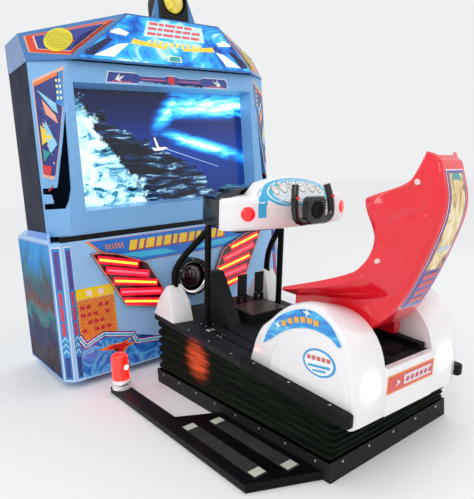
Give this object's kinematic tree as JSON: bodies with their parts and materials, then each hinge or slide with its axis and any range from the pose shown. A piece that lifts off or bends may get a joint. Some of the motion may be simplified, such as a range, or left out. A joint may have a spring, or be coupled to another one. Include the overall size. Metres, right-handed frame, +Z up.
{
  "type": "sitdown arcade machine",
  "caption": "Sit-down motion arcade machine: screen cabinet with lit header, and a tilting cockpit with bucket seat, flight yoke, pedals, white fenders and a boarding step.",
  "frame": {"origin": "centre of the footprint of the whole machine, on the floor", "axes": "+X to the player's right, +Y from the seat towards the screen, +Z up"},
  "size_m": [1.84, 2.7494, 2.512],
  "materials": {
    "printed_board": "glossy printed film over board",
    "black_board": "black painted board",
    "navy_board": "satin navy laminate",
    "blue_metallic": "metallic light blue lacquer over board",
    "black_metal": "black powder coat",
    "black_plastic": "black moulding, fine grain",
    "white_frp": "glossy white moulding",
    "red_frp": "glossy red moulding",
    "lit_red_lens": "translucent red lens",
    "yellow_plastic": "yellow moulding",
    "backlit_print": "backlit printed sheet",
    "lamp_white": "milky white lamp lens",
    "screen_glass": "display panel behind glass",
    "rubber_cloth": "dark green-black rubber cloth",
    "bare_steel": "machined steel",
    "bright_metal": "polished reflector"
  },
  "bodies": {
    "cabinet": {"lower_cabinet": "printed_board", "floor_skid_left": "black_board", "floor_skid_right": "black_board", "light_box_left": "lit_red_lens", "light_box_right": "lit_red_lens", "port_ring": "black_plastic", "port_dome": "black_plastic", "upper_cabinet": "navy_board", "front_bezel": "blue_metallic", "trim_strip": "black_plastic", "screen_panel": "screen_glass", "header_box": "blue_metallic", "speaker_grille_left": "yellow_plastic", "speaker_grille_right": "yellow_plastic", "marquee_panel": "backlit_print", "top_lamp_housing": "black_plastic", "top_lamp_lens": "yellow_plastic", "plinth": "black_metal", "floor_duct": "black_plastic", "side_step": "black_board", "grip_strip_outer": "rubber_cloth", "grip_strip_inner": "rubber_cloth", "beacon_base": "white_frp", "beacon_lens": "lit_red_lens", "pivot_post": "black_metal", "pitch_motor": "black_metal", "bellows_lower": "rubber_cloth"},
    "gimbal": {"gimbal_cross": "bare_steel"},
    "platform": {"platform_deck": "black_metal", "side_rail_left": "black_metal", "side_rail_right": "black_metal", "seat_box": "black_metal", "tail_panel": "white_frp", "fender_left": "white_frp", "fender_right": "white_frp", "tail_lamp_left": "lamp_white", "tail_lamp_right": "lamp_white", "seat_runner": "black_metal", "console_frame_left": "black_metal", "console_frame_right": "black_metal", "tube_cover_left": "white_frp", "tube_cover_right": "white_frp", "console_shell": "white_frp", "console_roundel_left": "lit_red_lens", "console_roundel_right": "lit_red_lens", "console_cover": "black_plastic", "column_bearing": "black_metal", "pedal_unit": "black_metal", "bellows_upper": "rubber_cloth"},
    "seat": {"seat_shell": "red_frp"},
    "column": {"steering_column": "bare_steel"},
    "yoke": {"yoke": "black_plastic"},
    "fire_left": {"fire_button_left": "red_frp"},
    "fire_right": {"fire_button_right": "red_frp"},
    "brake": {"pedal_brake": "black_plastic"},
    "throttle": {"pedal_throttle": "black_plastic"},
    "crank": {"pitch_crank": "bare_steel"},
    "reflector": {"beacon_reflector": "bright_metal"},
    "door": {"rear_door": "navy_board"},
    "lock": {"door_lock": "bare_steel"}
  },
  "joints": [
    {"name": "platform_pitch", "type": "hinge", "parent": "cabinet", "child": "gimbal", "pos_m": [-0.00436, -0.34329, 0.24565], "axis": [1, 0, 0], "range_deg": [-10, 1.5], "deforming": ["bellows_lower"]},
    {"name": "platform_roll", "type": "hinge", "parent": "gimbal", "child": "platform", "pos_m": [-0.00436, -0.34329, 0.24565], "axis": [0, 0.9954, 0.0958], "range_deg": [-6, 2], "deforming": ["bellows_upper"]},
    {"name": "crank_turn", "type": "hinge", "parent": "cabinet", "child": "crank", "pos_m": [-0.162, -0.63729, 0.24565], "axis": [1, 0, 0], "range_deg": [-10, 66]},
    {"name": "seat_slide", "type": "slide", "parent": "platform", "child": "seat", "axis": [0, 0.9954, 0.0958], "range_m": [-0.03, 0.08]},
    {"name": "column_push", "type": "slide", "parent": "platform", "child": "column", "axis": [0, 0.9954, 0.0958], "range_m": [-0.045, 0.012], "stiffness_N_per_m": 1500},
    {"name": "yoke_turn", "type": "hinge", "parent": "column", "child": "yoke", "pos_m": [0.02541, -0.62009, 1.07542], "axis": [0, 0.9954, 0.0958], "range_deg": [-45, 45], "stiffness_Nm_per_rad": 3},
    {"name": "fire_left_press", "type": "slide", "parent": "yoke", "child": "fire_left", "axis": [0, 0.9954, 0.0958], "range_m": [0, 0.004], "stiffness_N_per_m": 300},
    {"name": "fire_right_press", "type": "slide", "parent": "yoke", "child": "fire_right", "axis": [0, 0.9954, 0.0958], "range_m": [0, 0.004], "stiffness_N_per_m": 300},
    {"name": "brake_press", "type": "hinge", "parent": "platform", "child": "brake", "pos_m": [0.05311, 0.0643, 0.49901], "axis": [0.9994, 0.0033, -0.0347], "range_deg": [-18, 0], "stiffness_Nm_per_rad": 15, "springref_deg": 1.72},
    {"name": "throttle_press", "type": "hinge", "parent": "platform", "child": "throttle", "pos_m": [0.19103, 0.06476, 0.49421], "axis": [0.9994, 0.0033, -0.0347], "range_deg": [-18, 0], "stiffness_Nm_per_rad": 15, "springref_deg": 1.72},
    {"name": "reflector_spin", "type": "hinge", "parent": "cabinet", "child": "reflector", "pos_m": [-0.672, 0.36774, 0.1535], "axis": [0, 0, 1], "continuous": true},
    {"name": "door_swing", "type": "hinge", "parent": "cabinet", "child": "door", "pos_m": [-0.64, 1.3755, 0.5], "axis": [0, 0, 1], "range_deg": [0, 100]},
    {"name": "lock_turn", "type": "hinge", "parent": "door", "child": "lock", "pos_m": [0.58, 1.36124, 0.5], "axis": [0, 1, 0], "range_deg": [-90, 0]}
  ],
  "couplings": [
    {"joint": "crank_turn", "follows": "platform_pitch", "ratio": -6.5}
  ]
}
